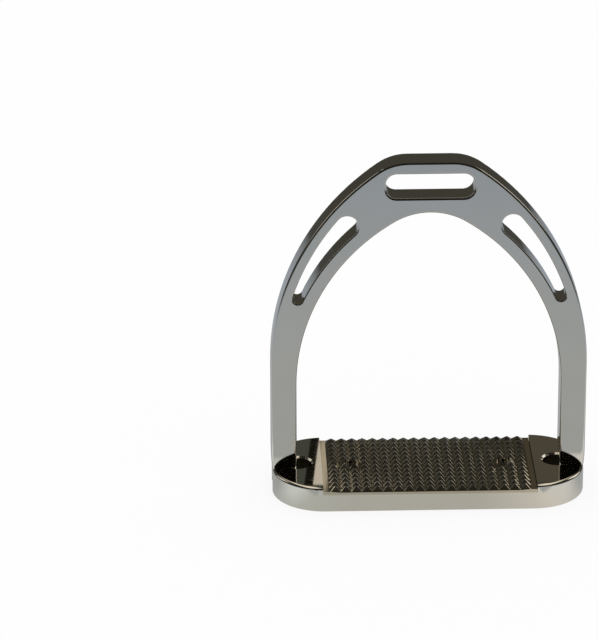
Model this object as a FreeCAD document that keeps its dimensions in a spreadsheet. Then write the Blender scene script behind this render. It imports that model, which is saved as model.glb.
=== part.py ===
import FreeCAD, Part
import math
import os

import Sketcher
from FreeCAD import Placement, Rotation, Vector

# A stirrup iron, in millimetres: a flat bow whose legs drop into slots in a wide footplate, with
# a toothed tread plate screwed into the footplate's recess. X runs along the tread from leg to
# leg, Y runs back through the foot opening and Z runs up. The origin is on the ground, under the
# middle of the footplate.

# The driving sizes: alias, value, and what it is.
SIZES = (
    ("inside_width", "120", "between the legs, the size that irons are sold by"),
    ("overall_height", "160", "ground to the flat top of the bow"),
    ("leg_width", "11.7", "each leg, along X"),
    ("bow_thickness", "13", "the whole bow, along Y"),
    ("crown_band", "24", "metal and strap slot between the foot opening and the top"),
    ("crown_radius", "30.6", "top of the foot opening"),
    ("inside_rise", "83", "curved height of the foot opening"),
    ("outside_rise", "98", "curved height of the bow's outside"),
    ("top_flat", "20", "flat part of the bow's top"),
    ("shoulder_radius", "23", "at each end of the flat top"),
    ("foot_taper_height", "20", "the legs' outsides draw in below this"),
    ("foot_taper_radius", "70", "how the legs' outsides draw in"),
    ("foot_corner_radius", "4.5", "lower outer corner of each foot"),
    ("bow_edge_radius", "1", "front and back edges of the bow"),
    ("slot_length", "40", "strap slot, along X"),
    ("slot_height", "11.4", "strap slot, along Z"),
    ("slot_corner_radius", "5", "ends of the strap slot"),
    ("slot_roof", "5.6", "metal above the strap slot"),
    ("slot_edge_radius", "1", "front and back edges of the strap slot"),
    ("window_inner_wall", "6.2", "from the foot opening to a window"),
    ("window_outer_wall", "4.7", "from a window to the bow's outside"),
    ("window_rise", "41.2", "a window's lower end, above where the inside starts to curve"),
    ("window_web", "13.8", "a window's upper end, from the strap slot's end"),
    ("window_edge_radius", "0.7", "front and back edges of the windows"),
    ("base_depth", "57.6", "footplate and tread, along Y"),
    ("base_height", "12", "footplate at its two ends"),
    ("end_flat", "9.6", "flat part of the footplate's ends, between its round corners"),
    ("base_setback", "0.5", "from a leg's outside in to the footplate's end"),
    ("rim_radius", "1.4", "upper edge of the footplate"),
    ("sole_radius", "1", "lower edge of the footplate"),
    ("pocket_length", "7", "open end of each leg slot, beside the leg"),
    ("pocket_bevel", "0.8", "bevel round the open end of each leg slot"),
    ("tread_margin", "11.4", "from a leg's inside to the tread plate"),
    ("tread_sink", "2", "from the footplate's ends down to the teeth's roots"),
    ("plate_thickness", "1.6", "tread plate under its teeth"),
    ("plate_clearance", "0.1", "gap at each end of the tread plate"),
    ("border_width", "3", "plain strip at each end of the tread plate"),
    ("tooth_height", "2.2", "roots to tips"),
    ("tooth_flat", "0.4", "blunt tip of a tooth"),
    ("tooth_pitch", "4.8", "about the distance from tooth to tooth"),
    ("screw_inset", "13.6", "from the tread plate's end to a tread screw"),
    ("screw_radius", "1.5", "shank of a tread screw"),
    ("head_lip", "0.2", "tread plate left under a tread screw's head"),
    ("screw_tip_gap", "1.2", "from the ground up to a tread screw's tip"),
    ("screw_tip_bevel", "0.5", "tip of a tread screw"),
    ("head_clearing", "0.4", "room between a screw's head and the teeth"),
    ("socket_radius", "1.65", "hexagon socket of a tread screw, to its corners"),
    ("socket_depth", "1.3", "hexagon socket of a tread screw"),
    ("pin_radius", "2", "cross pin through each foot"),
    ("pin_grip", "8", "cross pin in the footplate in front of the leg"),
)

# What follows from them.
WORKED = (
    ("inner_x", "=Sizes.inside_width / 2", "a leg's inside"),
    ("outer_x", "=inner_x + Sizes.leg_width", "a leg's outside"),
    ("opening_top", "=Sizes.overall_height - Sizes.crown_band", "top of the foot opening"),
    ("inner_spring", "=opening_top - Sizes.inside_rise", "where the inside starts to curve"),
    ("outer_spring", "=Sizes.overall_height - Sizes.outside_rise", "the same, outside"),
    ("crown_lift", "=Sizes.inside_rise - Sizes.crown_radius", "crown's centre above the spring"),
    (
        "side_radius",
        "=(inner_x ^ 2 + crown_lift ^ 2 - Sizes.crown_radius ^ 2) / (2 * (inner_x - Sizes.crown_radius))",
        "inside of the bow, meeting leg and crown smoothly",
    ),
    ("side_x", "=inner_x - side_radius", "centre of that arc"),
    ("shoulder_x", "=Sizes.top_flat / 2", "shoulder's centre"),
    ("shoulder_lift", "=Sizes.outside_rise - Sizes.shoulder_radius", "the same, above the spring"),
    (
        "outer_radius",
        "=((outer_x - shoulder_x) ^ 2 + shoulder_lift ^ 2 - Sizes.shoulder_radius ^ 2)"
        " / (2 * (outer_x - shoulder_x - Sizes.shoulder_radius))",
        "outside of the bow, meeting leg and shoulder smoothly",
    ),
    ("arc_x", "=outer_x - outer_radius", "centre of that arc"),
    ("window_inner_radius", "=side_radius + Sizes.window_inner_wall", "a window's inner edge"),
    ("window_outer_radius", "=outer_radius - Sizes.window_outer_wall", "a window's outer edge"),
    ("low_angle", "=asin(Sizes.window_rise / window_inner_radius)", "a window's lower end"),
    (
        "high_angle",
        "=acos((Sizes.slot_length / 2 + Sizes.window_web - side_x) / window_inner_radius)",
        "a window's upper end, from the centre of its inner edge",
    ),
    # A circle that touches both edges of a window has its centre on an ellipse about their centres.
    ("shift_x", "=arc_x - side_x", "from the inner edge's centre to the outer edge's"),
    ("shift_z", "=outer_spring - inner_spring", "the same, along Z"),
    ("half_sum", "=(window_inner_radius + window_outer_radius) / 2", "that ellipse's half length"),
    ("half_width", "=sqrt(half_sum ^ 2 - (shift_x ^ 2 + shift_z ^ 2) / 4)", "its half width"),
    (
        "low_reach",
        "=half_width ^ 2 / (half_sum - (shift_x * cos(low_angle) + shift_z * sin(low_angle)) / 2)",
        "out to the centre of a window's round lower end",
    ),
    (
        "high_reach",
        "=half_width ^ 2 / (half_sum - (shift_x * cos(high_angle) + shift_z * sin(high_angle)) / 2)",
        "out to the centre of a window's round upper end",
    ),
    ("low_z", "=inner_spring + low_reach * sin(low_angle)", "that lower centre"),
    ("high_x", "=side_x + high_reach * cos(high_angle)", "that upper centre"),
    ("slot_z", "=Sizes.overall_height - Sizes.slot_roof - Sizes.slot_height / 2", "strap slot"),
    ("base_half", "=outer_x - Sizes.base_setback", "the footplate's end"),
    ("base_corner_radius", "=(Sizes.base_depth - Sizes.end_flat) / 2", "footplate's corners"),
    ("root_z", "=Sizes.base_height - Sizes.tread_sink", "the teeth's roots"),
    ("seat_z", "=root_z - Sizes.plate_thickness", "floor of the tread recess"),
    ("tread_half", "=inner_x - Sizes.tread_margin", "end of the tread recess"),
    ("teeth_half", "=tread_half - Sizes.border_width", "end of the rows of teeth"),
    ("tooth_columns", "=round(2 * teeth_half / Sizes.tooth_pitch)", "teeth along X"),
    ("tooth_rows", "=round(Sizes.base_depth / Sizes.tooth_pitch)", "teeth along Y"),
    ("pitch_x", "=2 * teeth_half / tooth_columns", "tooth to tooth along X"),
    ("pitch_y", "=Sizes.base_depth / tooth_rows", "tooth to tooth along Y"),
    ("screw_x", "=tread_half - Sizes.screw_inset", "a tread screw"),
    ("head_depth", "=Sizes.plate_thickness - Sizes.head_lip", "a tread screw's head"),
    ("head_radius", "=Sizes.screw_radius + head_depth", "the same, a 90 degree cone"),
    ("pocket_x", "=inner_x - Sizes.pocket_length + Sizes.bow_thickness / 2", "a leg slot's round end"),
    ("pin_x", "=inner_x + Sizes.leg_width / 2", "a cross pin"),
    ("pin_z", "=Sizes.base_height / 2", "a cross pin"),
    ("pin_front", "=Sizes.bow_thickness / 2 + Sizes.pin_grip", "a cross pin's blind end"),
)

START, END, CENTRE = 1, 2, 3
ORIGIN = (-1, START)
ACROSS_AXIS, UP_AXIS = -1, -2
BEYOND = 10  # how far a cutting outline runs past what it cuts

doc = FreeCAD.newDocument("stirrup_iron")


def fill_sheet(name, rows):
    sheet = doc.addObject("Spreadsheet::Sheet", name)
    for row, (alias, content, meaning) in enumerate(rows, start=1):
        sheet.set(f"A{row}", meaning)
        sheet.set(f"B{row}", content)
        sheet.setAlias(f"B{row}", alias)
    doc.recompute()
    return sheet


def read(formula):
    result = doc.Sizes.evalExpression(formula)
    return float(getattr(result, "Value", result))


def new_body(label):
    body = doc.addObject("PartDesign::Body", label)
    body.Label = label
    return body


def origin_plane(body, role):
    return next(part for part in body.Origin.OriginFeatures if part.Role == role)


def new_sketch(body, name, plane, across=None, up=None, out=None):
    """A sketch on one of the body's own planes, moved within the plane or out of it by formulas."""
    sketch = body.newObject("Sketcher::SketchObject", name)
    sketch.AttachmentSupport = [(origin_plane(body, plane), "")]
    sketch.MapMode = "FlatFace"
    for axis, formula in (("x", across), ("y", up), ("z", out)):
        if formula:
            sketch.setExpression(f"AttachmentOffset.Base.{axis}", formula)
    return sketch


def fix(sketch, kind, *where, to=None):
    """Add a constraint to a sketch, and bind its value to a formula where it has one."""
    if to is None:
        sketch.addConstraint(Sketcher.Constraint(kind, *where))
        return
    amount = math.radians(read(to)) if kind == "Angle" else read(to)
    index = sketch.addConstraint(Sketcher.Constraint(kind, *where, amount))
    sketch.setExpression(f"Constraints[{index}]", to)


class Outline:
    """A closed outline, drawn in one direction piece by piece."""

    def __init__(self, sketch):
        self.sketch = sketch
        self.pieces = []

    def line(self, start, end):
        index = self.sketch.addGeometry(Part.LineSegment(start, end))
        self.pieces.append((index, START, END))
        return index

    def arc(self, centre, start, end, clockwise=False):
        first, last = (end, start) if clockwise else (start, end)
        angles = [math.atan2(point.y - centre.y, point.x - centre.x) for point in (first, last)]
        circle = Part.Circle(centre, Vector(0, 0, 1), (start - centre).Length)
        index = self.sketch.addGeometry(Part.ArcOfCircle(circle, *angles))
        self.pieces.append((index, END, START) if clockwise else (index, START, END))
        return index

    def close(self, sharp=()):
        """Join each piece to the next one, smoothly unless it is one of the sharp pieces."""
        following = self.pieces[1:] + self.pieces[:1]
        for (piece, _, end), (after, start, _) in zip(self.pieces, following):
            fix(self.sketch, "Coincident" if piece in sharp else "Tangent", piece, end, after, start)


def rectangle(sketch, length, width):
    """A rectangle centred on the sketch's origin."""
    x, y = read(length) / 2, read(width) / 2
    outline = Outline(sketch)
    top = outline.line(Vector(x, y), Vector(-x, y))
    left = outline.line(Vector(-x, y), Vector(-x, -y))
    bottom = outline.line(Vector(-x, -y), Vector(x, -y))
    right = outline.line(Vector(x, -y), Vector(x, y))
    outline.close(sharp=(top, left, bottom, right))
    fix(sketch, "Symmetric", top, START, top, END, UP_AXIS)
    fix(sketch, "Symmetric", right, START, right, END, ACROSS_AXIS)
    fix(sketch, "Horizontal", bottom)
    fix(sketch, "Vertical", left)
    fix(sketch, "Distance", top, to=length)
    fix(sketch, "Distance", right, to=width)


def rounded_rectangle(sketch, length, width, radius):
    """A rectangle with four round corners, centred on the sketch's origin."""
    x, y, r = read(length) / 2, read(width) / 2, read(radius)
    outline = Outline(sketch)
    top = outline.line(Vector(x - r, y), Vector(r - x, y))
    corners = [outline.arc(Vector(r - x, y - r), Vector(r - x, y), Vector(-x, y - r))]
    left = outline.line(Vector(-x, y - r), Vector(-x, r - y))
    corners.append(outline.arc(Vector(r - x, r - y), Vector(-x, r - y), Vector(r - x, -y)))
    bottom = outline.line(Vector(r - x, -y), Vector(x - r, -y))
    corners.append(outline.arc(Vector(x - r, r - y), Vector(x - r, -y), Vector(x, r - y)))
    right = outline.line(Vector(x, r - y), Vector(x, y - r))
    corners.append(outline.arc(Vector(x - r, y - r), Vector(x, y - r), Vector(x - r, y)))
    outline.close()
    fix(sketch, "Symmetric", top, START, top, END, UP_AXIS)
    fix(sketch, "Symmetric", right, START, right, END, ACROSS_AXIS)
    fix(sketch, "Horizontal", bottom)
    fix(sketch, "Vertical", left)
    for corner in corners[1:]:
        fix(sketch, "Equal", corners[0], corner)
    fix(sketch, "Radius", corners[0], to=radius)
    fix(sketch, "DistanceX", left, START, right, START, to=length)
    fix(sketch, "DistanceY", bottom, START, top, START, to=width)


def disc(sketch, radius, across="0"):
    """A circle on the sketch's own X axis."""
    circle = sketch.addGeometry(Part.Circle(Vector(read(across), 0), Vector(0, 0, 1), read(radius)))
    fix(sketch, "PointOnObject", circle, CENTRE, ACROSS_AXIS)
    if read(across):
        fix(sketch, "DistanceX", *ORIGIN, circle, CENTRE, to=across)
    else:
        fix(sketch, "PointOnObject", circle, CENTRE, UP_AXIS)
    fix(sketch, "Radius", circle, to=radius)


def pad(body, name, sketch, length, symmetric=False):
    feature = body.newObject("PartDesign::Pad", name)
    feature.Profile = sketch
    feature.SideType = "Symmetric" if symmetric else "One side"
    feature.setExpression("Length", length)
    doc.recompute()
    return feature


def pocket(body, name, sketch, depth=None, symmetric=False):
    """Cut down from the sketch, to a depth or all the way, and make sure that it cuts."""
    before = body.Shape.Volume
    feature = body.newObject("PartDesign::Pocket", name)
    feature.Profile = sketch
    feature.SideType = "Symmetric" if symmetric else "One side"
    if depth:
        feature.setExpression("Length", depth)
    else:
        feature.Type = "ThroughAll"
    doc.recompute()
    if not body.Shape.Volume < before:
        raise RuntimeError(f"{name} cuts nothing")
    return feature


def cone_cut(body, name, low, high, height, across, bottom):
    """A countersink: a cone cut out of the body, wide end up."""
    cone = body.newObject("PartDesign::SubtractiveCone", name)
    cone.AttachmentSupport = [(origin_plane(body, "XY_Plane"), "")]
    cone.MapMode = "FlatFace"
    cone.setExpression("Radius1", low)
    cone.setExpression("Radius2", high)
    cone.setExpression("Height", height)
    cone.setExpression("AttachmentOffset.Base.x", across)
    cone.setExpression("AttachmentOffset.Base.z", bottom)
    doc.recompute()
    return cone


def mirrored(body, name, originals):
    """Repeat features on the other side of the YZ plane."""
    feature = body.newObject("PartDesign::Mirrored", name)
    feature.Originals = originals
    feature.MirrorPlane = (origin_plane(body, "YZ_Plane"), [""])
    body.Tip = feature
    doc.recompute()
    return feature


def row_of(body, name, original, count, pitch):
    """Repeat a feature along its sketch's own X axis."""
    feature = body.newObject("PartDesign::LinearPattern", name)
    feature.Originals = [original]
    feature.Direction = (original.Profile[0], ["H_Axis"])
    feature.setExpression("Occurrences", count)
    feature.setExpression("Length", f"({count} - 1) * {pitch}")
    body.Tip = feature
    doc.recompute()
    return feature


def fillet(body, name, choose, radius):
    """Round the edges chosen from the body's last feature."""
    last = body.Tip
    shape = last.Shape
    chosen = choose(shape)
    names = [
        f"Edge{number}"
        for number, edge in enumerate(shape.Edges, start=1)
        if any(edge.isSame(other) for other in chosen)
    ]
    feature = body.newObject("PartDesign::Fillet", name)
    feature.Base = (last, names)
    feature.setExpression("Radius", radius)
    doc.recompute()
    if not names:
        raise RuntimeError(f"{name} rounds nothing")
    return feature


def away_from(centre, point, distance):
    """The point at that distance from a centre, in the direction of another point."""
    return centre + (point - centre).normalize() * distance


def bow_profile(body):
    """Half of the bow: foot opening, foot, outside and flat top."""
    sketch = new_sketch(body, "bow_profile", "XZ_Plane")
    inner_x, outer_x = read("Worked.inner_x"), read("Worked.outer_x")
    top, opening_top = read("Sizes.overall_height"), read("Worked.opening_top")
    crown_radius, shoulder_radius = read("Sizes.crown_radius"), read("Sizes.shoulder_radius")
    taper_radius, corner_radius = read("Sizes.foot_taper_radius"), read("Sizes.foot_corner_radius")
    outer_radius = read("Worked.outer_radius")

    crown = Vector(0, opening_top - crown_radius)
    side = Vector(read("Worked.side_x"), read("Worked.inner_spring"))
    outside = Vector(read("Worked.arc_x"), read("Worked.outer_spring"))
    taper = Vector(outer_x - taper_radius, read("Sizes.foot_taper_height"))
    corner_reach = math.sqrt((taper_radius - corner_radius) ** 2 - (taper.y - corner_radius) ** 2)
    corner = Vector(taper.x + corner_reach, corner_radius)
    shoulder = Vector(read("Worked.shoulder_x"), top - shoulder_radius)

    crown_end = away_from(side, crown, read("Worked.side_radius"))
    corner_end = away_from(taper, corner, taper_radius)
    shoulder_start = away_from(outside, shoulder, outer_radius)

    outline = Outline(sketch)
    crown_arc = outline.arc(crown, Vector(0, opening_top), crown_end, clockwise=True)
    side_arc = outline.arc(side, crown_end, Vector(inner_x, side.y), clockwise=True)
    inner_leg = outline.line(Vector(inner_x, side.y), Vector(inner_x, 0))
    sole = outline.line(Vector(inner_x, 0), Vector(corner.x, 0))
    corner_arc = outline.arc(corner, Vector(corner.x, 0), corner_end)
    taper_arc = outline.arc(taper, corner_end, Vector(outer_x, taper.y))
    outer_leg = outline.line(Vector(outer_x, taper.y), Vector(outer_x, outside.y))
    outside_arc = outline.arc(outside, Vector(outer_x, outside.y), shoulder_start)
    shoulder_arc = outline.arc(shoulder, shoulder_start, Vector(shoulder.x, top))
    flat_top = outline.line(Vector(shoulder.x, top), Vector(0, top))
    middle = outline.line(Vector(0, top), Vector(0, opening_top))
    outline.close(sharp=(inner_leg, flat_top, middle))

    for line in (inner_leg, outer_leg, middle):
        fix(sketch, "Vertical", line)
    for line in (sole, flat_top):
        fix(sketch, "Horizontal", line)
    fix(sketch, "PointOnObject", middle, START, UP_AXIS)
    fix(sketch, "PointOnObject", crown_arc, CENTRE, UP_AXIS)
    fix(sketch, "PointOnObject", sole, START, ACROSS_AXIS)
    fix(sketch, "DistanceX", *ORIGIN, inner_leg, START, to="Worked.inner_x")
    fix(sketch, "DistanceX", *ORIGIN, outer_leg, START, to="Worked.outer_x")
    fix(sketch, "DistanceY", *ORIGIN, middle, START, to="Sizes.overall_height")
    fix(sketch, "DistanceY", *ORIGIN, middle, END, to="Worked.opening_top")
    fix(sketch, "DistanceY", *ORIGIN, inner_leg, START, to="Worked.inner_spring")
    fix(sketch, "DistanceY", *ORIGIN, outer_leg, START, to="Sizes.foot_taper_height")
    fix(sketch, "DistanceY", *ORIGIN, outer_leg, END, to="Worked.outer_spring")
    fix(sketch, "Radius", crown_arc, to="Sizes.crown_radius")
    fix(sketch, "Radius", corner_arc, to="Sizes.foot_corner_radius")
    fix(sketch, "Radius", taper_arc, to="Sizes.foot_taper_radius")
    fix(sketch, "DistanceX", flat_top, END, flat_top, START, to="Worked.shoulder_x")
    fix(sketch, "Radius", shoulder_arc, to="Sizes.shoulder_radius")
    return sketch


def window_profile(body):
    """A side window: a curved wedge with round ends, wide at the top and narrow at the bottom."""
    sketch = new_sketch(body, "window_profile", "XZ_Plane")
    side = Vector(read("Worked.side_x"), read("Worked.inner_spring"))
    outside = Vector(read("Worked.arc_x"), read("Worked.outer_spring"))
    inner_radius, outer_radius = read("Worked.window_inner_radius"), read("Worked.window_outer_radius")

    ends = []
    for end in ("low", "high"):
        angle, reach = math.radians(read(f"Worked.{end}_angle")), read(f"Worked.{end}_reach")
        centre = side + Vector(math.cos(angle), math.sin(angle)) * reach
        inner, outer = away_from(side, centre, inner_radius), away_from(outside, centre, outer_radius)
        ends.append((centre, inner, outer))
    (low, low_inner, low_outer), (high, high_inner, high_outer) = ends

    outline = Outline(sketch)
    inner_edge = outline.arc(side, high_inner, low_inner, clockwise=True)
    low_end = outline.arc(low, low_inner, low_outer)
    outer_edge = outline.arc(outside, low_outer, high_outer)
    high_end = outline.arc(high, high_outer, high_inner)
    outline.close()

    fix(sketch, "DistanceX", inner_edge, CENTRE, *ORIGIN, to="-Worked.side_x")
    fix(sketch, "DistanceY", *ORIGIN, inner_edge, CENTRE, to="Worked.inner_spring")
    fix(sketch, "DistanceX", outer_edge, CENTRE, *ORIGIN, to="-Worked.arc_x")
    fix(sketch, "DistanceY", *ORIGIN, outer_edge, CENTRE, to="Worked.outer_spring")
    fix(sketch, "Radius", inner_edge, to="Worked.window_inner_radius")
    fix(sketch, "Radius", outer_edge, to="Worked.window_outer_radius")
    fix(sketch, "DistanceY", *ORIGIN, low_end, CENTRE, to="Worked.low_z")
    fix(sketch, "DistanceX", *ORIGIN, high_end, CENTRE, to="Worked.high_x")
    return sketch


def bow_edges(kind):
    """The front and back edges of the bow's outline, of its strap slot or of its windows."""

    def choose(shape):
        half_thickness = read("Sizes.bow_thickness") / 2
        edges = {"outline": [], "slot": [], "window": []}
        for face in shape.Faces:
            if abs(abs(face.CenterOfMass.y) - half_thickness) > Part.Precision.confusion():
                continue
            edges["outline"] += face.OuterWire.Edges
            for wire in face.Wires:
                box = wire.BoundBox
                if wire.isSame(face.OuterWire) or box.ZMin < read("Sizes.base_height"):
                    continue
                edges["slot" if box.XMin < 0 < box.XMax else "window"] += wire.Edges
        return edges[kind]

    return choose


def make_bow():
    body = new_body("bow")
    half = pad(body, "half_bow", bow_profile(body), "Sizes.bow_thickness", symmetric=True)
    window = pocket(body, "window", window_profile(body), symmetric=True)
    hole_sketch = new_sketch(body, "pin_hole_profile", "XZ_Plane", up="Worked.pin_z")
    disc(hole_sketch, "Sizes.pin_radius", across="Worked.pin_x")
    pin_hole = pocket(body, "pin_hole", hole_sketch, symmetric=True)
    mirrored(body, "whole_bow", [half, window, pin_hole])
    slot_sketch = new_sketch(body, "strap_slot_profile", "XZ_Plane", up="Worked.slot_z")
    rounded_rectangle(slot_sketch, "Sizes.slot_length", "Sizes.slot_height", "Sizes.slot_corner_radius")
    pocket(body, "strap_slot", slot_sketch, symmetric=True)
    fillet(body, "window_edges", bow_edges("window"), "Sizes.window_edge_radius")
    fillet(body, "slot_edges", bow_edges("slot"), "Sizes.slot_edge_radius")
    fillet(body, "outline_edges", bow_edges("outline"), "Sizes.bow_edge_radius")
    return body


def leg_slot_profile(body):
    """A slot open at the footplate's end, with a round inner end."""
    sketch = new_sketch(body, "leg_slot_profile", "XY_Plane")
    round_x, half = read("Worked.pocket_x"), read("Sizes.bow_thickness") / 2
    end_x = read("Worked.base_half") + BEYOND
    outline = Outline(sketch)
    round_end = outline.arc(Vector(round_x, 0), Vector(round_x, half), Vector(round_x, -half))
    near = outline.line(Vector(round_x, -half), Vector(end_x, -half))
    mouth = outline.line(Vector(end_x, -half), Vector(end_x, half))
    far = outline.line(Vector(end_x, half), Vector(round_x, half))
    outline.close(sharp=(near, mouth))
    fix(sketch, "Horizontal", near)
    fix(sketch, "Horizontal", far)
    fix(sketch, "Vertical", mouth)
    fix(sketch, "PointOnObject", round_end, CENTRE, ACROSS_AXIS)
    fix(sketch, "DistanceX", *ORIGIN, round_end, CENTRE, to="Worked.pocket_x")
    fix(sketch, "DistanceX", *ORIGIN, mouth, START, to=f"Worked.base_half + {BEYOND}")
    fix(sketch, "Radius", round_end, to="Sizes.bow_thickness / 2")
    return sketch


def edges_at(height):
    """The edges that lie flat at one height."""

    def choose(shape):
        near = Part.Precision.confusion()
        level = read(height)
        boxes = [(edge, edge.BoundBox) for edge in shape.Edges]
        return [edge for edge, box in boxes if max(abs(box.ZMin - level), abs(box.ZMax - level)) < near]

    return choose


def make_base():
    body = new_body("footplate")
    plan = new_sketch(body, "plan", "XY_Plane")
    rounded_rectangle(plan, "2 * Worked.base_half", "Sizes.base_depth", "Worked.base_corner_radius")
    pad(body, "slab", plan, "Sizes.base_height")
    fillet(body, "rim", edges_at("Sizes.base_height"), "Sizes.rim_radius")
    fillet(body, "sole", edges_at("0"), "Sizes.sole_radius")

    recess = new_sketch(body, "recess_profile", "XY_Plane", out="Sizes.base_height")
    rectangle(recess, "2 * Worked.tread_half", f"Sizes.base_depth + {BEYOND}")
    pocket(body, "tread_recess", recess, depth="Sizes.base_height - Worked.seat_z")

    leg_slot = pocket(body, "leg_slot", leg_slot_profile(body), symmetric=True)
    bevel = cone_cut(
        body,
        "pocket_bevel",
        low="Sizes.bow_thickness / 2",
        high="Sizes.bow_thickness / 2 + Sizes.pocket_bevel",
        height="Sizes.pocket_bevel",
        across="Worked.pocket_x",
        bottom="Sizes.base_height - Sizes.pocket_bevel",
    )
    screw_sketch = new_sketch(body, "screw_hole_profile", "XY_Plane", out="Sizes.base_height")
    disc(screw_sketch, "Sizes.screw_radius", across="Worked.screw_x")
    screw_hole = pocket(body, "screw_hole", screw_sketch)
    pin_sketch = new_sketch(
        body, "pin_hole_profile", "XZ_Plane", up="Worked.pin_z", out="Worked.pin_front"
    )
    disc(pin_sketch, "Sizes.pin_radius", across="Worked.pin_x")
    pin_hole = pocket(body, "pin_hole", pin_sketch)
    mirrored(body, "both_ends", [leg_slot, bevel, screw_hole, pin_hole])
    return body


def groove_profile(body, name, plane, pitch, count):
    """A V between two rows of teeth, at the outermost row's edge, open well above their tips."""
    sketch = new_sketch(body, name, plane, across=f"-{count} * {pitch} / 2", up="Worked.root_z")
    height = "2 * Sizes.tooth_height"
    width = f"2 * ({pitch} - Sizes.tooth_flat)"
    half, high = read(width) / 2, read(height)
    outline = Outline(sketch)
    left = outline.line(Vector(0, 0), Vector(-half, high))
    top = outline.line(Vector(-half, high), Vector(half, high))
    right = outline.line(Vector(half, high), Vector(0, 0))
    outline.close(sharp=(left, top, right))
    fix(sketch, "Coincident", left, START, *ORIGIN)
    fix(sketch, "Symmetric", top, START, top, END, UP_AXIS)
    fix(sketch, "Distance", top, to=width)
    fix(sketch, "DistanceY", *ORIGIN, top, START, to=height)
    return sketch


def cut_teeth(body):
    """Two crossing rows of V grooves leave the square teeth standing."""
    for name, plane, pitch, count in (
        ("columns", "XZ_Plane", "Worked.pitch_x", "Worked.tooth_columns"),
        ("rows", "YZ_Plane", "Worked.pitch_y", "Worked.tooth_rows"),
    ):
        profile = groove_profile(body, f"{name}_groove_profile", plane, pitch, count)
        groove = pocket(body, f"{name}_groove", profile, symmetric=True)
        row_of(body, f"{name}_of_teeth", groove, f"({count} + 1)", pitch)


def make_tread_plate():
    body = new_body("tread_plate")
    plate = new_sketch(body, "plate_profile", "XY_Plane", out="Worked.seat_z")
    rectangle(plate, "2 * (Worked.tread_half - Sizes.plate_clearance)", "Sizes.base_depth")
    pad(body, "plate", plate, "Sizes.plate_thickness")
    block = new_sketch(body, "tooth_block_profile", "XY_Plane", out="Worked.root_z")
    rectangle(block, "2 * Worked.teeth_half", "Sizes.base_depth")
    pad(body, "tooth_block", block, "Sizes.tooth_height")
    cut_teeth(body)

    above = "Worked.root_z + Sizes.tooth_height"
    clearing_sketch = new_sketch(body, "clearing_profile", "XY_Plane", out=above)
    disc(clearing_sketch, "Worked.head_radius + Sizes.head_clearing", across="Worked.screw_x")
    clearing = pocket(body, "clearing", clearing_sketch, depth="Sizes.tooth_height")
    countersink = cone_cut(
        body,
        "countersink",
        low="Sizes.screw_radius",
        high="Worked.head_radius",
        height="Worked.head_depth",
        across="Worked.screw_x",
        bottom="Worked.root_z - Worked.head_depth",
    )
    hole_sketch = new_sketch(body, "hole_profile", "XY_Plane", out="Worked.root_z")
    disc(hole_sketch, "Sizes.screw_radius", across="Worked.screw_x")
    hole = pocket(body, "hole", hole_sketch)
    mirrored(body, "both_screw_seats", [clearing, countersink, hole])
    return body


def make_tread_screw(label, side):
    """A countersunk socket screw, its head level with the teeth's roots."""
    body = new_body(label)
    sketch = new_sketch(body, "screw_profile", "XZ_Plane")
    head, shank = read("Worked.head_radius"), read("Sizes.screw_radius")
    top, tip, bevel = read("Worked.root_z"), read("Sizes.screw_tip_gap"), read("Sizes.screw_tip_bevel")
    neck = top - read("Worked.head_depth")
    points = (
        Vector(0, top),
        Vector(0, tip),
        Vector(shank - bevel, tip),
        Vector(shank, tip + bevel),
        Vector(shank, neck),
        Vector(head, top),
    )
    outline = Outline(sketch)
    lines = [outline.line(*ends) for ends in zip(points, points[1:] + points[:1])]
    middle, end, tip_bevel, side_line, cone, face = lines
    outline.close(sharp=lines)
    for line in (middle, side_line):
        fix(sketch, "Vertical", line)
    for line in (end, face):
        fix(sketch, "Horizontal", line)
    fix(sketch, "PointOnObject", middle, START, UP_AXIS)
    fix(sketch, "DistanceY", *ORIGIN, middle, START, to="Worked.root_z")
    fix(sketch, "DistanceY", *ORIGIN, middle, END, to="Sizes.screw_tip_gap")
    fix(sketch, "DistanceX", *ORIGIN, side_line, START, to="Sizes.screw_radius")
    fix(sketch, "DistanceX", *ORIGIN, cone, END, to="Worked.head_radius")
    fix(sketch, "DistanceY", cone, START, cone, END, to="Worked.head_depth")
    fix(sketch, "DistanceX", tip_bevel, START, tip_bevel, END, to="Sizes.screw_tip_bevel")
    fix(sketch, "DistanceY", tip_bevel, START, tip_bevel, END, to="Sizes.screw_tip_bevel")
    turned = body.newObject("PartDesign::Revolution", "turned_blank")
    turned.Profile = sketch
    turned.ReferenceAxis = (sketch, ["V_Axis"])
    doc.recompute()
    socket = body.newObject("PartDesign::SubtractivePrism", "socket")
    socket.AttachmentSupport = [(origin_plane(body, "XY_Plane"), "")]
    socket.MapMode = "FlatFace"
    socket.setExpression("Circumradius", "Sizes.socket_radius")
    socket.setExpression("Height", "Sizes.socket_depth")
    socket.setExpression("AttachmentOffset.Base.z", "Worked.root_z - Sizes.socket_depth")
    body.setExpression("Placement.Base.x", f"{side} * Worked.screw_x")
    doc.recompute()
    return body


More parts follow.
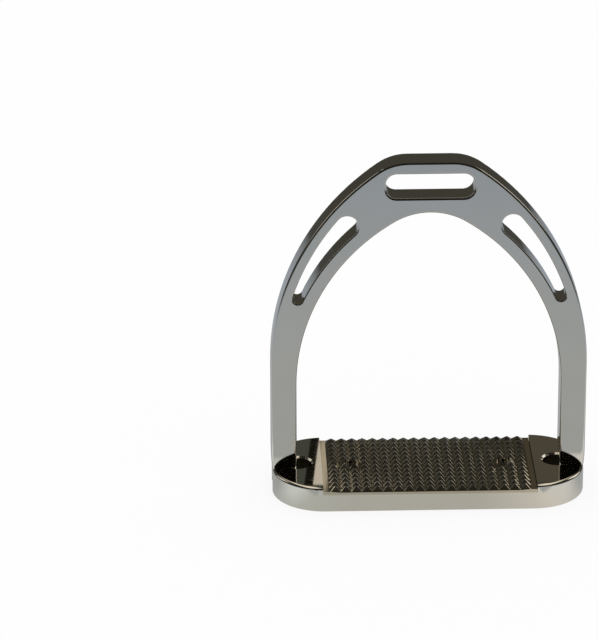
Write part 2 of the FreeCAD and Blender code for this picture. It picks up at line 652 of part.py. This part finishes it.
def outside_corner_profile(body):
    """What lies outside the footplate's rounded back corner, seen from above, about a cross pin."""
    sketch = new_sketch(body, "outside_corner_profile", "XY_Plane")
    radius = read("Worked.base_corner_radius")
    centre = Vector(
        read("Worked.base_half - Worked.base_corner_radius - Worked.pin_x"),
        read("Sizes.base_depth / 2 - Worked.base_corner_radius"),
    )
    back, side = centre + Vector(0, radius), centre + Vector(radius, 0)
    far_x, far_y = side.x + BEYOND, back.y + BEYOND
    outline = Outline(sketch)
    rounded = outline.arc(centre, back, side, clockwise=True)
    lower = outline.line(side, Vector(far_x, side.y))
    right = outline.line(Vector(far_x, side.y), Vector(far_x, far_y))
    upper = outline.line(Vector(far_x, far_y), Vector(back.x, far_y))
    left = outline.line(Vector(back.x, far_y), back)
    outline.close(sharp=(rounded, lower, right, upper, left))
    fix(sketch, "Horizontal", lower)
    fix(sketch, "Horizontal", upper)
    fix(sketch, "Vertical", right)
    fix(sketch, "Vertical", left)
    fix(sketch, "Horizontal", rounded, CENTRE, lower, START)
    fix(sketch, "Vertical", rounded, CENTRE, left, END)
    fix(sketch, "Radius", rounded, to="Worked.base_corner_radius")
    fix(sketch, "Distance", lower, to=f"{BEYOND} mm")
    fix(sketch, "Distance", left, to=f"{BEYOND} mm")
    fix(
        sketch,
        "DistanceX",
        *ORIGIN,
        lower,
        START,
        to="Worked.base_half - Worked.pin_x",
    )
    fix(sketch, "DistanceY", *ORIGIN, left, END, to="Sizes.base_depth / 2")
    return sketch


def make_leg_pin(label, side):
    """A cross pin through one foot, its back end ground flush with the footplate's rounded edge."""
    body = new_body(label)
    sketch = new_sketch(body, "pin_profile", "XZ_Plane", out="Worked.pin_front")
    disc(sketch, "Sizes.pin_radius")
    pin = pad(body, "pin", sketch, "Worked.pin_front + Sizes.base_depth / 2")
    pin.Reversed = True
    doc.recompute()
    pocket(body, "flush_end", outside_corner_profile(body), symmetric=True)
    turn = Rotation(Vector(0, 1, 0), 0 if side > 0 else 180)
    body.Placement = Placement(Vector(0, 0, 0), turn)
    body.setExpression("Placement.Base.x", f"{side} * Worked.pin_x")
    body.setExpression("Placement.Base.z", "Worked.pin_z")
    doc.recompute()
    return body


def check_document():
    for thing in doc.Objects:
        if {"Invalid", "Error"} & set(thing.State):
            raise RuntimeError(f"{thing.Label} failed: {thing.State}")


def write_parts(bodies):
    for body in bodies:
        if body.Shape.isNull() or not body.Shape.isValid():
            raise RuntimeError(f"{body.Label} has no valid shape")
    os.makedirs("parts", exist_ok=True)
    for body in bodies:
        body.Shape.exportStep(f"parts/{body.Label}.step")
        print(body.Label, "solids", len(body.Shape.Solids), "volume", round(body.Shape.Volume, 1))


fill_sheet("Sizes", SIZES)
fill_sheet("Worked", WORKED)
pieces = [make_bow(), make_base(), make_tread_plate()]
for place, side in (("left", -1), ("right", 1)):
    pieces.append(make_tread_screw(f"tread_screw_{place}", side))
    pieces.append(make_leg_pin(f"leg_pin_{place}", side))
check_document()
write_parts(pieces)
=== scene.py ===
import math

import bmesh
import bpy
from mathutils import Matrix, Vector


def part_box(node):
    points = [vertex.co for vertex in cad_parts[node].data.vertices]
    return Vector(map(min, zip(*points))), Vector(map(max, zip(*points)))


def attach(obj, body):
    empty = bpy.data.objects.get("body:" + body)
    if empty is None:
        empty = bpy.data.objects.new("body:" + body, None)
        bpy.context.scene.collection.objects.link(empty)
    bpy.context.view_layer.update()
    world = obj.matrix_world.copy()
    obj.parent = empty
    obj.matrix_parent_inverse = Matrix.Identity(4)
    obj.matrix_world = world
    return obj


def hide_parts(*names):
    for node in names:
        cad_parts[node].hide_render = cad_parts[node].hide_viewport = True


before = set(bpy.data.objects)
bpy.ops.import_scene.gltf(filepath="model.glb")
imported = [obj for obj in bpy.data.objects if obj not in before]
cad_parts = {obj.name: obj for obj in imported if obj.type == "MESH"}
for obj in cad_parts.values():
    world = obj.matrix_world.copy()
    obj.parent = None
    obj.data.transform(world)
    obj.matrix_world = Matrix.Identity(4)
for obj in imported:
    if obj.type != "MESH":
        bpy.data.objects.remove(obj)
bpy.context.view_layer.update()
MM = 0.001


# ---- making materials ----------------------------------------------------------------------


def srgb(code):
    """An sRGB hex colour as the linear colour that shaders work in."""
    channels = [int(code[i : i + 2], 16) / 255 for i in (1, 3, 5)]
    linear = [c / 12.92 if c <= 0.04045 else ((c + 0.055) / 1.055) ** 2.4 for c in channels]
    return (*linear, 1.0)


def add_node(tree, kind, settings=None, inputs=None):
    """Add a node; an input given as (node, output) is linked, and any other is its value."""
    node = tree.nodes.new(kind)
    for name, setting in (settings or {}).items():
        setattr(node, name, setting)
    for name, source in (inputs or {}).items():
        if isinstance(source, tuple) and isinstance(source[0], bpy.types.Node):
            tree.links.new(source[0].outputs[source[1]], node.inputs[name])
        else:
            node.inputs[name].default_value = source
    return node


def new_material(name):
    """A material with an empty node tree."""
    material = bpy.data.materials.new(name)
    material.use_nodes = True
    material.node_tree.nodes.clear()
    return material


def fill_ramp(ramp, levels):
    """Give a colour ramp its stops, each a place from 0 to 1 and a linear colour."""
    stops = ramp.color_ramp.elements
    while len(stops) < len(levels):
        stops.new(0.5)
    for stop, (place, colour) in zip(stops, levels):
        stop.position = place
        stop.color = (*colour, 1.0)


def per_mm(size):
    """A pattern's scale on Object coordinates, in metres, for cells of a size in millimetres."""
    return 1 / (size * MM)


def buffed_nickel(name, along):
    """Nickel plate over a cast light alloy, mopped to a mirror: a warm white metal whose
    reflections are sharp but lean a little, with cloudy patches where the mop dwelt and fine
    hairlines along its run."""
    material = new_material(name)
    tree = material.node_tree
    place = add_node(tree, "ShaderNodeTexCoord")
    drawn_out = 0.045  # a hairline is about 20 times as long as it is wide
    stretch = [drawn_out if axis == along else 1.0 for axis in range(3)]
    run = add_node(
        tree, "ShaderNodeMapping", inputs={"Vector": (place, "Object"), "Scale": stretch}
    )
    clouds = add_node(
        tree,
        "ShaderNodeTexNoise",
        inputs={"Vector": (place, "Object"), "Scale": per_mm(14), "Detail": 3.0, "Roughness": 0.55},
    )
    hairlines = add_node(
        tree,
        "ShaderNodeTexNoise",
        inputs={"Vector": (run, "Vector"), "Scale": per_mm(0.9), "Detail": 4.0, "Roughness": 0.7},
    )
    dwell = add_node(
        tree,
        "ShaderNodeMapRange",
        inputs={
            "Value": (clouds, "Fac"),
            "From Min": 0.3,
            "From Max": 0.7,
            "To Min": 0.035,
            "To Max": 0.075,
        },
    )
    line_gloss = add_node(
        tree,
        "ShaderNodeMapRange",
        inputs={
            "Value": (hairlines, "Fac"),
            "From Min": 0.35,
            "From Max": 0.75,
            "To Min": -0.012,
            "To Max": 0.03,
        },
    )
    gloss = add_node(
        tree, "ShaderNodeMath", {"operation": "ADD"}, {0: (dwell, "Result"), 1: (line_gloss, "Result")}
    )
    tarnish = add_node(
        tree,
        "ShaderNodeMix",
        {"data_type": "RGBA"},
        {"Factor": (clouds, "Fac"), "A": srgb("#e9e5de"), "B": srgb("#e4dfd5")},
    )
    swell = add_node(
        tree,
        "ShaderNodeTexNoise",
        inputs={"Vector": (place, "Object"), "Scale": per_mm(22), "Detail": 1.0},
    )
    lean = add_node(
        tree,
        "ShaderNodeBump",
        inputs={"Strength": 0.35, "Distance": 0.09 * MM, "Height": (swell, "Fac")},
    )
    scratches = add_node(
        tree,
        "ShaderNodeBump",
        inputs={
            "Strength": 0.25,
            "Distance": 0.004 * MM,
            "Height": (hairlines, "Fac"),
            "Normal": (lean, "Normal"),
        },
    )
    shader = add_node(
        tree,
        "ShaderNodeBsdfPrincipled",
        inputs={
            "Base Color": (tarnish, "Result"),
            "Metallic": 1.0,
            "Roughness": (gloss, 0),
            "Normal": (scratches, "Normal"),
        },
    )
    add_node(tree, "ShaderNodeOutputMaterial", inputs={"Surface": (shader, "BSDF")})
    return material


def cast_nickel(name):
    """Nickel plate over a die-cast plate, tumbled and not mopped, with a fine sandy skin and patchy
    grime.
    Its colour carries painted shade: paler at the tips, duller and browner down between the teeth."""
    material = new_material(name)
    tree = material.node_tree
    place = add_node(tree, "ShaderNodeTexCoord")
    height = add_node(tree, "ShaderNodeSeparateXYZ", inputs={"Vector": (place, "Object")})
    tip_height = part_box("tread_plate")[1][2]
    teeth = 2.2 * MM  # roots to tips
    shade_by_height = add_node(
        tree,
        "ShaderNodeMapRange",
        inputs={"Value": (height, "Z"), "From Min": tip_height - teeth, "From Max": tip_height},
    )
    grime = add_node(
        tree,
        "ShaderNodeTexNoise",
        inputs={"Vector": (place, "Object"), "Scale": per_mm(5), "Detail": 4.0, "Roughness": 0.6},
    )
    rubbed = add_node(
        tree, "ShaderNodeMath", {"operation": "MULTIPLY_ADD"}, {0: (grime, "Fac"), 1: 0.5, 2: -0.2}
    )
    valley_shade_and_grime = add_node(
        tree,
        "ShaderNodeMath",
        {"operation": "ADD", "use_clamp": True},
        {0: (shade_by_height, "Result"), 1: (rubbed, 0)},
    )
    # Painted shade: the colour darkens and browns by height from the tips down to the roots between
    # the teeth, with patchy grime mixed in.
    colour = add_node(
        tree,
        "ShaderNodeMix",
        {"data_type": "RGBA"},
        {"Factor": (valley_shade_and_grime, 0), "A": srgb("#cdc3b0"), "B": srgb("#e8e4dc")},
    )
    gloss = add_node(
        tree,
        "ShaderNodeMapRange",
        inputs={"Value": (valley_shade_and_grime, 0), "To Min": 0.13, "To Max": 0.07},
    )
    sand = add_node(
        tree,
        "ShaderNodeTexNoise",
        inputs={"Vector": (place, "Object"), "Scale": per_mm(0.5), "Detail": 3.0},
    )
    skin = add_node(
        tree,
        "ShaderNodeBump",
        inputs={"Strength": 0.5, "Distance": 0.012 * MM, "Height": (sand, "Fac")},
    )
    shader = add_node(
        tree,
        "ShaderNodeBsdfPrincipled",
        inputs={
            "Base Color": (colour, "Result"),
            "Metallic": 1.0,
            "Roughness": (gloss, "Result"),
            "Normal": (skin, "Normal"),
        },
    )
    add_node(tree, "ShaderNodeOutputMaterial", inputs={"Surface": (shader, "BSDF")})
    return material


def turned_steel(name, node, colour, axis):
    """Plated steel turned on a lathe: fine rings about its own axis that spread a highlight
    into a bow tie, over a colour a shade greyer than the nickel. The rings are 2.2 mm apart,
    coarser than a lathe leaves them, so that they show."""
    material = new_material(name)
    tree = material.node_tree
    low, high = (Vector(corner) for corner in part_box(node))
    place = add_node(tree, "ShaderNodeTexCoord")
    radian, wave_radians = 0.35, 20  # millimetres to a radian, and a wave's radians to the unit
    centred = add_node(
        tree,
        "ShaderNodeMapping",
        inputs={"Vector": (place, "Object"), "Location": -(low + high) / 2},
    )
    rings = add_node(
        tree,
        "ShaderNodeTexWave",
        {"wave_type": "RINGS", "rings_direction": axis, "wave_profile": "SIN"},
        {
            "Vector": (centred, "Vector"),
            "Scale": per_mm(radian) / wave_radians,
            "Distortion": 0.6,
            "Detail": 2.0,
            "Detail Scale": 2.0,
        },
    )
    gloss = add_node(
        tree,
        "ShaderNodeMapRange",
        inputs={"Value": (rings, "Fac"), "To Min": 0.12, "To Max": 0.24},
    )
    cut = add_node(
        tree,
        "ShaderNodeBump",
        inputs={"Strength": 0.3, "Distance": 0.01 * MM, "Height": (rings, "Fac")},
    )
    shader = add_node(
        tree,
        "ShaderNodeBsdfPrincipled",
        inputs={
            "Base Color": srgb(colour),
            "Metallic": 1.0,
            "Roughness": (gloss, "Result"),
            "Normal": (cut, "Normal"),
        },
    )
    add_node(tree, "ShaderNodeOutputMaterial", inputs={"Surface": (shader, "BSDF")})
    return material


# ---- tread plate ---------------------------------------------------------------------------


def copy_to_shape(node, name):
    """A separate mesh with a CAD node's shape, its corners welded and its flats whole again."""
    piece = bpy.data.objects.new(name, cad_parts[node].data.copy())
    bpy.context.collection.objects.link(piece)
    bpy.ops.object.select_all(action="DESELECT")
    piece.select_set(True)
    bpy.context.view_layer.objects.active = piece
    bpy.ops.mesh.customdata_custom_splitnormals_clear()
    bpy.ops.object.mode_set(mode="EDIT")
    bpy.ops.mesh.select_all(action="SELECT")
    bpy.ops.mesh.remove_doubles(threshold=0.001 * MM)
    bpy.ops.mesh.dissolve_limited(angle_limit=math.radians(0.2))
    bpy.ops.object.mode_set(mode="OBJECT")
    return piece


def round_ridges(piece, radius):
    """Bring each tooth to a point, then round its ridges, as casting and tumbling leave them."""
    # The small flat on each tip is merged to a point.
    just_below_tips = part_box("tread_plate")[1][2] - 0.05 * MM
    level = 0.99
    bpy.ops.object.mode_set(mode="EDIT")
    bpy.ops.mesh.select_mode(type="FACE")
    bpy.ops.mesh.select_all(action="DESELECT")
    shape = bmesh.from_edit_mesh(piece.data)
    for face in shape.faces:
        face.select = face.normal.z > level and face.calc_center_median().z > just_below_tips
    bmesh.update_edit_mesh(piece.data)
    bpy.ops.mesh.merge(type="COLLAPSE")

    # The ridges by the screws stay sharp, because the screws' clearings cut them short.
    clear = 5.0 * MM
    screws = []
    for name in ("tread_screw_left", "tread_screw_right"):
        low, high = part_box(name)
        screws.append(Vector(((low[0] + high[0]) / 2, (low[1] + high[1]) / 2)))
    facet_slope, slack = math.sqrt(0.5), 0.08  # a facet leans by about 45 degrees
    bpy.ops.mesh.select_mode(type="EDGE")
    bpy.ops.mesh.select_all(action="DESELECT")
    shape = bmesh.from_edit_mesh(piece.data)
    for edge in shape.edges:
        if len(edge.link_faces) != 2 or not edge.is_convex:
            continue
        middle = ((edge.verts[0].co + edge.verts[1].co) / 2).to_2d()
        if min((middle - screw).length for screw in screws) > clear:
            edge.select = all(abs(face.normal.z - facet_slope) < slack for face in edge.link_faces)
    bmesh.update_edit_mesh(piece.data)
    bpy.ops.mesh.bevel(offset=radius, segments=3, profile=0.5, affect="EDGES", clamp_overlap=False)
    bpy.ops.object.mode_set(mode="OBJECT")

    crease = math.radians(28)  # sharper edges than this stay sharp
    bpy.ops.object.shade_smooth_by_angle(angle=crease)
    even = piece.modifiers.new("flats_stay_flat", "WEIGHTED_NORMAL")
    even.keep_sharp = True
    even.weight = 100
    bpy.ops.object.modifier_apply(modifier=even.name)


tread = copy_to_shape("tread_plate", "tread")
round_ridges(tread, 0.36 * MM)
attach(tread, "root")
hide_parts("tread_plate")

# ---- what each piece is made of ------------------------------------------------------------

node_materials = {
    "bow": buffed_nickel("nickel_plate_buffed_bow", along=2),
    "footplate": buffed_nickel("nickel_plate_buffed_footplate", along=0),
}
for side in ("left", "right"):
    for kind, colour, axis in (("tread_screw", "#c9c6bf", "Z"), ("leg_pin", "#d6d2ca", "Y")):
        node = f"{kind}_{side}"
        node_materials[node] = turned_steel(f"steel_turned_{node}", node, colour, axis)
for name, material in node_materials.items():
    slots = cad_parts[name].data.materials
    slots.clear()
    slots.append(material)
tread.data.materials.clear()
tread.data.materials.append(cast_nickel("nickel_plate_cast_tread"))


# ---- studio --------------------------------------------------------------------------------
# Polished metal shows its surroundings, so the floor and the world that are seen are plain
# white, and what the metal mirrors is a darker studio: a grey table, a dark hall and softboxes.

FLOOR_SIZE = (8.0, 8.0)
HALL_RADIUS = 3.9
UP = (0, 0, 1)


def card(name, centre, size, facing, material):
    """A flat staged card about its centre, its face turned towards a point."""
    bpy.ops.object.select_all(action="DESELECT")
    bpy.ops.mesh.primitive_plane_add(size=1.0)
    thing = bpy.context.object
    thing.name = name
    centre, facing = Vector(centre), Vector(facing)
    turn = (facing - centre).to_track_quat("Z", "Y").to_matrix().to_4x4()
    thing.data.transform(
        Matrix.Translation(centre) @ turn @ Matrix.Diagonal((size[0], size[1], 1.0, 1.0))
    )
    thing.data.materials.append(material)
    return thing


def mirrored_only(thing):
    """Only reflections see the thing."""
    thing.visible_camera = False
    thing.visible_diffuse = False
    thing.visible_transmission = False
    thing.visible_volume_scatter = False
    thing.visible_shadow = False
    return thing


def glow(name, colour, strength, soft_edge=0.0):
    """An even glow, or one that fades over its soft edge, a share of the card."""
    material = new_material(name)
    material.cycles.emission_sampling = "NONE"
    tree = material.node_tree
    level = strength
    if soft_edge:
        uv = add_node(tree, "ShaderNodeTexCoord")
        split = add_node(tree, "ShaderNodeSeparateXYZ", inputs={"Vector": (uv, "UV")})
        for axis in ("X", "Y"):
            off = add_node(
                tree, "ShaderNodeMath", {"operation": "SUBTRACT"}, {0: (split, axis), 1: 0.5}
            )
            off = add_node(tree, "ShaderNodeMath", {"operation": "ABSOLUTE"}, {0: (off, 0)})
            fade = add_node(
                tree,
                "ShaderNodeMapRange",
                {"interpolation_type": "SMOOTHSTEP"},
                {
                    "Value": (off, 0),
                    "From Min": 0.5 - soft_edge,
                    "From Max": 0.5,
                    "To Min": 1.0,
                    "To Max": 0.0,
                },
            )
            dimmed = add_node(
                tree, "ShaderNodeMath", {"operation": "MULTIPLY"}, {0: (fade, "Result"), 1: level}
            )
            level = (dimmed, 0)
    shader = add_node(
        tree, "ShaderNodeEmission", inputs={"Color": srgb(colour), "Strength": level}
    )
    add_node(tree, "ShaderNodeOutputMaterial", inputs={"Surface": (shader, "Emission")})
    return material


def one_sided(material):
    """Make a glow show on a card's face only, and leave its back clear."""
    tree = material.node_tree
    side = add_node(tree, "ShaderNodeNewGeometry")
    clear = add_node(tree, "ShaderNodeBsdfTransparent")
    out = tree.nodes["Material Output"]
    shader = out.inputs["Surface"].links[0].from_node
    both = add_node(
        tree,
        "ShaderNodeMixShader",
        inputs={0: (side, "Backfacing"), 1: (shader, "Emission"), 2: (clear, "BSDF")},
    )
    tree.links.new(both.outputs["Shader"], out.inputs["Surface"])
    return material


def hall_material():
    """The studio round the table: dark all round, and darkest at the camera's end."""
    material = new_material("hall_dark")
    material.cycles.emission_sampling = "NONE"
    tree = material.node_tree
    place = add_node(tree, "ShaderNodeTexCoord")
    split = add_node(tree, "ShaderNodeSeparateXYZ", inputs={"Vector": (place, "Object")})
    along = add_node(
        tree,
        "ShaderNodeMapRange",
        inputs={
            "Value": (split, "Y"),
            "From Min": -FLOOR_SIZE[1] / 2,
            "From Max": FLOOR_SIZE[1] / 2,
        },
    )
    level = add_node(tree, "ShaderNodeValToRGB", inputs={"Fac": (along, "Result")})
    greys = ((0.07, 0.03), (0.30, 0.60), (0.46, 0.30), (0.53, 1.0), (1.0, 1.0))
    fill_ramp(level, [(place_along, (grey, grey, grey)) for place_along, grey in greys])
    shader = add_node(
        tree,
        "ShaderNodeEmission",
        inputs={"Color": srgb("#414039"), "Strength": (level, "Color")},
    )
    add_node(tree, "ShaderNodeOutputMaterial", inputs={"Surface": (shader, "Emission")})
    return material


def seen_floor_material():
    """Pale floor: mostly its own even white, with a little that the iron's shade can dim."""
    material = new_material("floor_white")
    material.cycles.emission_sampling = "NONE"
    tree = material.node_tree
    matt = add_node(tree, "ShaderNodeBsdfDiffuse", inputs={"Color": (0.13, 0.13, 0.13, 1.0)})
    even = add_node(tree, "ShaderNodeEmission", inputs={"Strength": 0.862})
    both = add_node(
        tree, "ShaderNodeAddShader", inputs={0: (matt, "BSDF"), 1: (even, "Emission")}
    )
    add_node(tree, "ShaderNodeOutputMaterial", inputs={"Surface": (both, "Shader")})
    return material


def mirrored_floor_material():
    """The table as the metal sees it: greyer and bluer further out, with a paler band before
    the footplate that lights its rim."""
    material = new_material("floor_mirrored")
    material.cycles.emission_sampling = "NONE"
    tree = material.node_tree
    place = add_node(tree, "ShaderNodeTexCoord")
    split = add_node(tree, "ShaderNodeSeparateXYZ", inputs={"Vector": (place, "Object")})
    far = add_node(
        tree, "ShaderNodeVectorMath", {"operation": "LENGTH"}, {0: (place, "Object")}
    )
    table = add_node(tree, "ShaderNodeValToRGB", inputs={"Fac": (far, "Value")})
    fill_ramp(
        table,
        [
            (0.00, (0.40, 0.415, 0.41)),
            (0.18, (0.39, 0.415, 0.43)),
            (0.40, (0.33, 0.37, 0.42)),
            (0.70, (0.22, 0.24, 0.26)),
            (1.00, (0.06, 0.06, 0.055)),
        ],
    )
    # The band ends sooner before the legs, so that only the rim shows it.
    leg_inner = (54 * MM, 58 * MM, 0.0, 12.5 * MM)
    leg_outer = (73 * MM, 78 * MM, 1.0, 0.0)
    aside = add_node(tree, "ShaderNodeMath", {"operation": "ABSOLUTE"}, {0: (split, "X")})
    edges = []
    for start, end, before, after in (leg_inner, leg_outer):
        edges.append(
            add_node(
                tree,
                "ShaderNodeMapRange",
                {"interpolation_type": "SMOOTHSTEP"},
                {
                    "Value": (aside, 0),
                    "From Min": start,
                    "From Max": end,
                    "To Min": before,
                    "To Max": after,
                },
            )
        )
    setback = add_node(
        tree,
        "ShaderNodeMath",
        {"operation": "MULTIPLY"},
        {0: (edges[0], "Result"), 1: (edges[1], "Result")},
    )
    shifted = add_node(
        tree, "ShaderNodeMath", {"operation": "SUBTRACT"}, {0: (split, "Y"), 1: (setback, 0)}
    )
    near_edge = add_node(
        tree,
        "ShaderNodeMapRange",
        {"interpolation_type": "SMOOTHSTEP"},
        {"Value": (shifted, 0), "From Min": -60.5 * MM, "From Max": -55.5 * MM},
    )
    far_edge = add_node(
        tree,
        "ShaderNodeMapRange",
        {"interpolation_type": "SMOOTHSTEP"},
        {
            "Value": (split, "Y"),
            "From Min": -30 * MM,
            "From Max": 0.0,
            "To Min": 1.0,
            "To Max": 0.0,
        },
    )
    band = add_node(
        tree,
        "ShaderNodeMath",
        {"operation": "MULTIPLY"},
        {0: (near_edge, "Result"), 1: (far_edge, "Result")},
    )
    across = add_node(
        tree,
        "ShaderNodeMapRange",
        inputs={"Value": (split, "X"), "From Min": -100 * MM, "From Max": 100 * MM},
    )
    pale = add_node(tree, "ShaderNodeValToRGB", inputs={"Fac": (across, "Result")})
    fill_ramp(
        pale,
        [
            (0.10, (0.66, 0.70, 0.70)),
            (0.19, (0.50, 0.52, 0.50)),
            (0.33, (0.47, 0.475, 0.45)),
            (0.62, (0.49, 0.485, 0.45)),
            (0.80, (0.70, 0.68, 0.63)),
            (0.92, (0.68, 0.69, 0.68)),
        ],
    )
    colour = add_node(
        tree,
        "ShaderNodeMix",
        {"data_type": "RGBA"},
        {"Factor": (band, 0), "A": (table, "Color"), "B": (pale, "Color")},
    )
    shader = add_node(tree, "ShaderNodeEmission", inputs={"Color": (colour, "Result")})
    add_node(tree, "ShaderNodeOutputMaterial", inputs={"Surface": (shader, "Emission")})
    return material


floor = card("floor", (0, 0, 0), FLOOR_SIZE, UP, seen_floor_material())
floor.visible_glossy = False
floor.visible_shadow = False
# The mirrored table and the shade on it lie just under the floor that is seen.
table_top, shade_top = (0, 0, -0.2 * MM), (0, 0, -0.1 * MM)
mirrored_only(card("floor_mirrored", table_top, FLOOR_SIZE, UP, mirrored_floor_material()))

bpy.ops.object.select_all(action="DESELECT")
bpy.ops.mesh.primitive_uv_sphere_add(segments=48, ring_count=24, radius=HALL_RADIUS)
hall = bpy.context.object
hall.name = "hall"
hall.data.materials.append(hall_material())
mirrored_only(hall)


def softbox(name, azimuth, strength):
    """A warm white softbox that faces the object: azimuth runs from +Y towards +X."""
    azimuth, elevation, distance = math.radians(azimuth), math.radians(30), 1.6
    size, aim = (0.95, 1.1), (0, 0, 50 * MM)
    centre = Vector(
        (
            math.sin(azimuth) * math.cos(elevation),
            math.cos(azimuth) * math.cos(elevation),
            math.sin(elevation),
        )
    )
    cloth = glow(name + "_cloth", "#fffaf0", strength, soft_edge=0.25)
    return mirrored_only(card(name, centre * distance, size, aim, cloth))


softbox("softbox_left", -62, 0.62)
softbox("softbox_right", 62, 1.0)

# Two small cream strips over the footplate's round ends light its rim.
RIM_STRIP_SIZE = (36 * MM, 84 * MM)
for name, side in (("rim_strip_left", -1), ("rim_strip_right", 1)):
    over = Vector((side * 68 * MM, -26 * MM, 50 * MM))
    paper = one_sided(glow(name + "_paper", "#f3ead9", 1.0, soft_edge=0.3))
    mirrored_only(card(name, over, RIM_STRIP_SIZE, (over.x, over.y, 0.0), paper))

# Low flat strips behind the two ends put their bands in the footplate's top: seen from below
# only, so the back of the bow doesn't show them. Sizes are in millimetres, and the left ones
# are turned by some degrees, which slants their bands.
STRIP_BEHIND, STRIP_HEIGHT, STRIP_LENGTH = 68 * MM, 40 * MM, 64 * MM
for name, near, far, turned, colour, strength in (
    ("cream", -48.5, -42.4, -5.1, "#efe6d4", 0.66),
    ("black", -52.6, -48.4, -5.1, "#16140f", 1.0),
    ("grey", -65.0, -52.5, -5.1, "#454740", 1.0),
    ("brown", 47.8, 50.7, 0.0, "#43382e", 1.0),
    ("bronze", 50.6, 70.0, 0.0, "#504b40", 1.0),
):
    middle = Vector(((near + far) / 2 * MM, STRIP_BEHIND, STRIP_HEIGHT))
    strip = card(
        name + "_strip",
        middle,
        ((far - near) * MM, STRIP_LENGTH),
        (middle.x, middle.y, 0.0),
        one_sided(glow(name + "_paper", colour, strength)),
    )
    turn = Matrix.Rotation(math.radians(turned), 4, "Z")
    strip.data.transform(Matrix.Translation(middle) @ turn @ Matrix.Translation(-middle))
    mirrored_only(strip)

# Painted shadow: a dark card on the mirrored table stands for the shadow under the footplate, though
# not as far out as its round ends.
low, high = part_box("footplate")
shade_size = (high[0] - low[0] - 15 * MM, high[1] - low[1] - 26 * MM)
mirrored_only(card("shade", shade_top, shade_size, UP, glow("shade", "#1a1915", 1.0)))

world = bpy.data.worlds.new("studio")
bpy.context.scene.world = world
world.use_nodes = True
backdrop = world.node_tree.nodes["Background"]
backdrop.inputs["Color"].default_value = (1, 1, 1, 1)
backdrop.inputs["Strength"].default_value = 0.992
world.cycles_visibility.glossy = False
bpy.context.scene.view_settings.view_transform = "Standard"

# ---- camera --------------------------------------------------------------------------------

AZIMUTH, ELEVATION, ROLL = math.radians(-1.651), math.radians(22.430), math.radians(0.140)
LOOK_AT = Vector((-58.638, 0, 82.546)) * MM
DISTANCE = 2.0415
FOCAL = 254.0

camera_data = bpy.data.cameras.new("camera")
camera = bpy.data.objects.new("camera", camera_data)
bpy.context.collection.objects.link(camera)
camera_data.sensor_width = 36.0
camera_data.lens = FOCAL
camera_data.clip_start = 0.05
camera_data.clip_end = 50.0
back = Vector(
    (
        math.sin(AZIMUTH) * math.cos(ELEVATION),
        -math.cos(AZIMUTH) * math.cos(ELEVATION),
        math.sin(ELEVATION),
    )
)
right = Vector((math.cos(AZIMUTH), math.sin(AZIMUTH), 0))
up = back.cross(right)
turned_right = right * math.cos(ROLL) - up * math.sin(ROLL)
turned_up = right * math.sin(ROLL) + up * math.cos(ROLL)
camera.matrix_world = Matrix.Translation(LOOK_AT + back * DISTANCE) @ Matrix(
    (turned_right, turned_up, back)
).transposed().to_4x4()
bpy.context.scene.camera = camera
